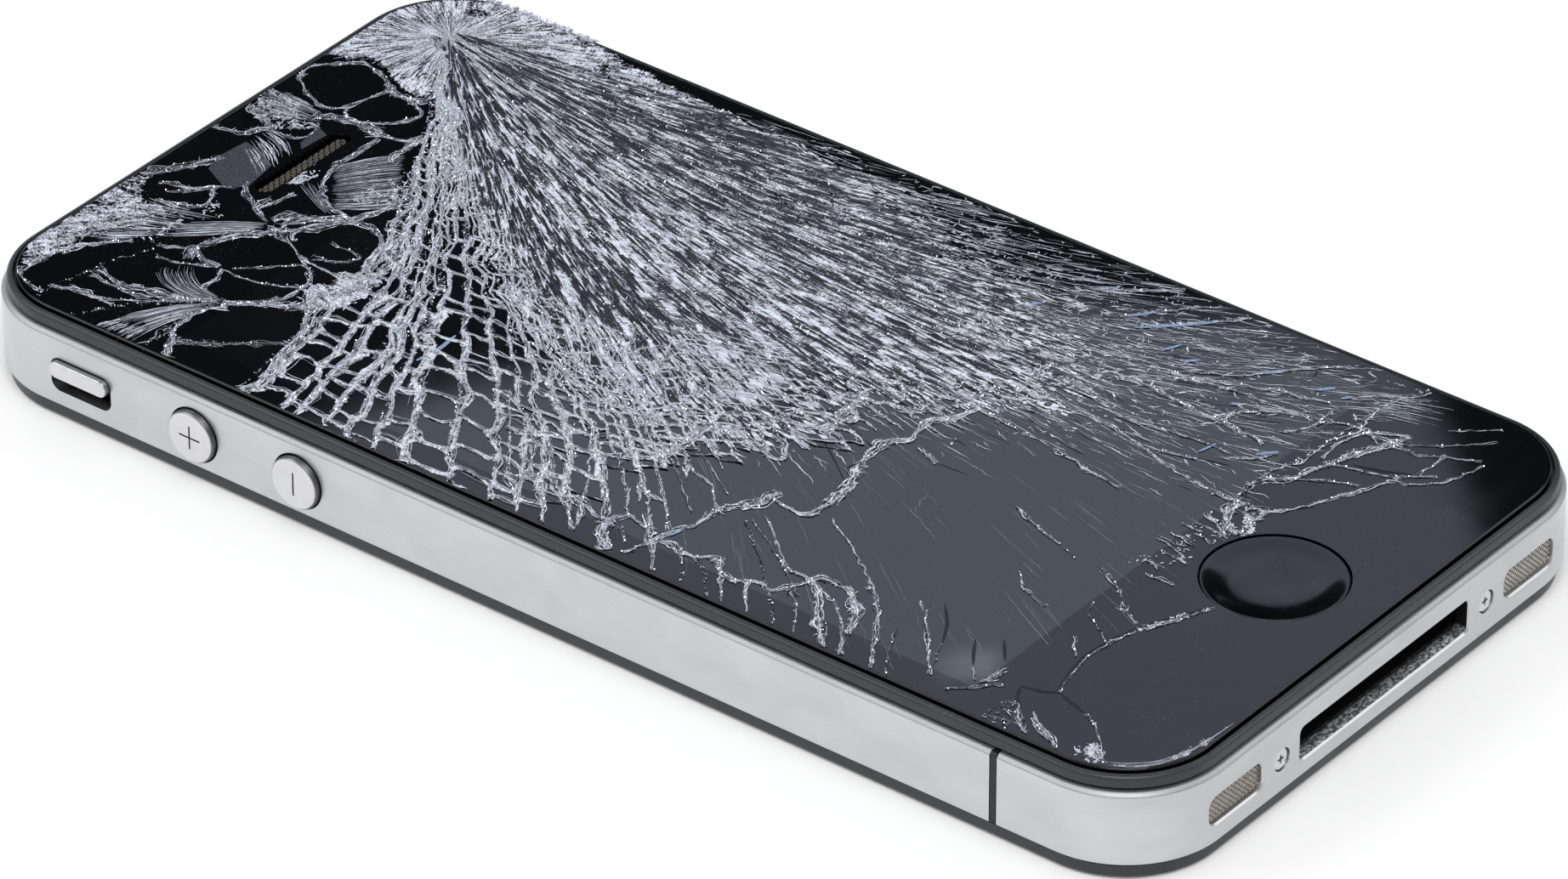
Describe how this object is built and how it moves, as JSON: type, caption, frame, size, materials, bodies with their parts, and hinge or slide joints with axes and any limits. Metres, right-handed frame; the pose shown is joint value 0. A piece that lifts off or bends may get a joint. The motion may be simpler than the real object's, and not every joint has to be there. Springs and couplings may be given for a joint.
{
  "type": "smartphone with shattered glass",
  "caption": "Slim bar phone with a steel band round its edge, lying on its back, its front glass shattered by a fan of cracks from one upper corner.",
  "frame": {"origin": "middle of the back face, on which the phone lies", "axes": "+X across the phone, from the volume keys to the card tray; +Y along it, from the dock opening to the earpiece end; +Z out of the screen"},
  "size_m": [0.0592, 0.1158, 0.0093],
  "materials": {
    "steel_band": "brushed",
    "polished_steel": "polished",
    "black_plastic": "matt",
    "bezel_plastic": "satin, dusty",
    "black_glass": "glossy, opaque from behind",
    "lens_glass": "glossy",
    "dark_screen": "satin",
    "button_plastic": "glossy",
    "circuit_board": "satin",
    "battery_foil": "satin"
  },
  "bodies": {
    "housing": {"antenna_band_left": "steel_band", "antenna_band_main": "steel_band", "gap_insert_lower_left": "black_plastic", "gap_insert_top": "black_plastic", "gap_insert_lower_right": "black_plastic", "front_bezel": "bezel_plastic", "back_bezel": "bezel_plastic", "back_panel": "black_glass", "cover_glass": "black_glass", "home_button_bracket": "polished_steel", "earpiece_mesh": "polished_steel", "earpiece_speaker": "black_plastic", "lcd_panel": "dark_screen", "backlight_unit": "polished_steel", "mid_plate": "steel_band", "volume_bracket": "polished_steel", "ring_switch_seat": "black_plastic", "sleep_button_bracket": "polished_steel", "dock_shell": "steel_band", "dock_tongue": "black_plastic", "bottom_screw_left": "polished_steel", "bottom_screw_right": "polished_steel", "microphone_mesh": "polished_steel", "speaker_mesh": "polished_steel", "microphone": "black_plastic", "speaker_module": "black_plastic", "sim_reader": "polished_steel", "headphone_jack": "black_plastic", "vibration_motor": "polished_steel", "rear_camera": "black_plastic", "rear_camera_window": "lens_glass", "flash_lens": "lens_glass", "front_camera": "black_plastic", "battery": "battery_foil", "logic_board": "circuit_board", "shield_can_upper": "polished_steel", "shield_can_lower": "polished_steel"},
    "home_button": {"home_button": "button_plastic"},
    "volume_up_button": {"volume_up_button": "polished_steel"},
    "volume_down_button": {"volume_down_button": "polished_steel"},
    "ring_switch": {"ring_switch": "polished_steel"},
    "sleep_button": {"sleep_button": "polished_steel"},
    "sim_tray": {"sim_tray": "steel_band"},
    "camera_barrel": {"rear_camera_barrel": "black_plastic"},
    "vibration_weight": {"vibration_weight": "steel_band"}
  },
  "joints": [
    {"name": "home_button_press", "type": "slide", "parent": "housing", "child": "home_button", "axis": [0, 0, -1], "range_m": [0, 0.0003], "stiffness_N_per_m": 400, "springref_m": -0.002},
    {"name": "volume_up_press", "type": "slide", "parent": "housing", "child": "volume_up_button", "axis": [1, 0, 0], "range_m": [0, 0.0003], "stiffness_N_per_m": 400, "springref_m": -0.002},
    {"name": "volume_down_press", "type": "slide", "parent": "housing", "child": "volume_down_button", "axis": [1, 0, 0], "range_m": [0, 0.0003], "stiffness_N_per_m": 400, "springref_m": -0.002},
    {"name": "sleep_press", "type": "slide", "parent": "housing", "child": "sleep_button", "axis": [0, -1, 0], "range_m": [0, 0.0003], "stiffness_N_per_m": 400, "springref_m": -0.002},
    {"name": "ring_switch_slide", "type": "slide", "parent": "housing", "child": "ring_switch", "axis": [0, 0, -1], "range_m": [0, 0.0012]},
    {"name": "sim_tray_slide", "type": "slide", "parent": "housing", "child": "sim_tray", "axis": [1, 0, 0], "range_m": [0, 0.019]},
    {"name": "camera_focus", "type": "slide", "parent": "housing", "child": "camera_barrel", "axis": [0, 0, -1], "range_m": [0, 0.0002], "stiffness_N_per_m": 300, "springref_m": -0.001},
    {"name": "vibration_spin", "type": "hinge", "parent": "housing", "child": "vibration_weight", "pos_m": [-0.00362, 0.0523, 0.0047], "axis": [1, 0, 0], "continuous": true}
  ]
}
